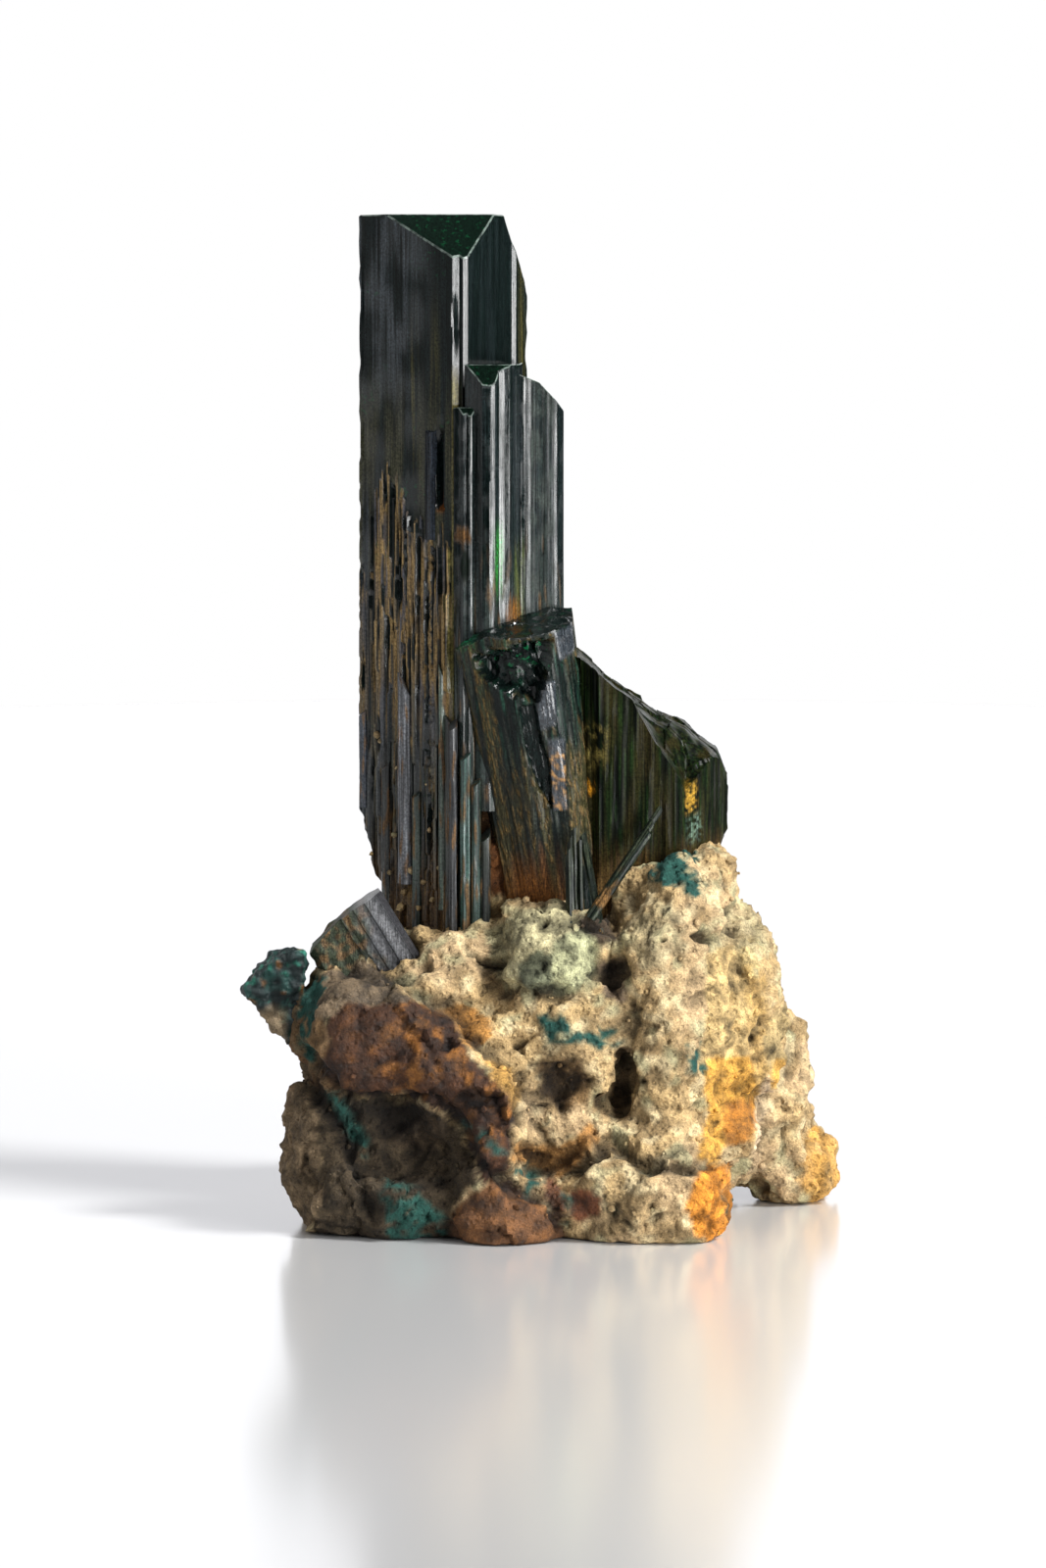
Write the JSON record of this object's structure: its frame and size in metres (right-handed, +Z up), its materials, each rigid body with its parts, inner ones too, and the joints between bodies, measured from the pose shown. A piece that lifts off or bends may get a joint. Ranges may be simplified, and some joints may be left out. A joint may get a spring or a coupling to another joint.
{
  "type": "atacamite mineral specimen",
  "caption": "Tall dark green striated prisms, with a leaning broken crystal and a broken block beside them, grown upright on a porous sandy rock with a rust-brown lobe.",
  "frame": {"origin": "in the flat rest face of the rock, under the middle of the specimen", "axes": "+Z up along the tall crystal, -Y towards the front that the picture shows, +X to its right"},
  "size_m": [0.0288, 0.0235, 0.0486],
  "materials": {
    "dark_green_crystal": "vitreous, striated, nearly opaque dark green with ochre dirt low down",
    "grey_crystal": "satin silver-grey with rusty dirt",
    "green_crust": "fine crystalline dark teal crust",
    "blade_crystal": "vitreous dark green, striated along its length",
    "sandy_rock": "rough, porous and sandy, with rust-brown and orange stains and teal powdery patches"
  },
  "bodies": {
    "root": {"crystal_group": "dark_green_crystal", "slab_crystal": "grey_crystal", "green_wing": "green_crust", "blade_upright": "blade_crystal", "blade_diagonal": "blade_crystal", "blade_short": "blade_crystal", "matrix": "sandy_rock"}
  },
  "joints": []
}
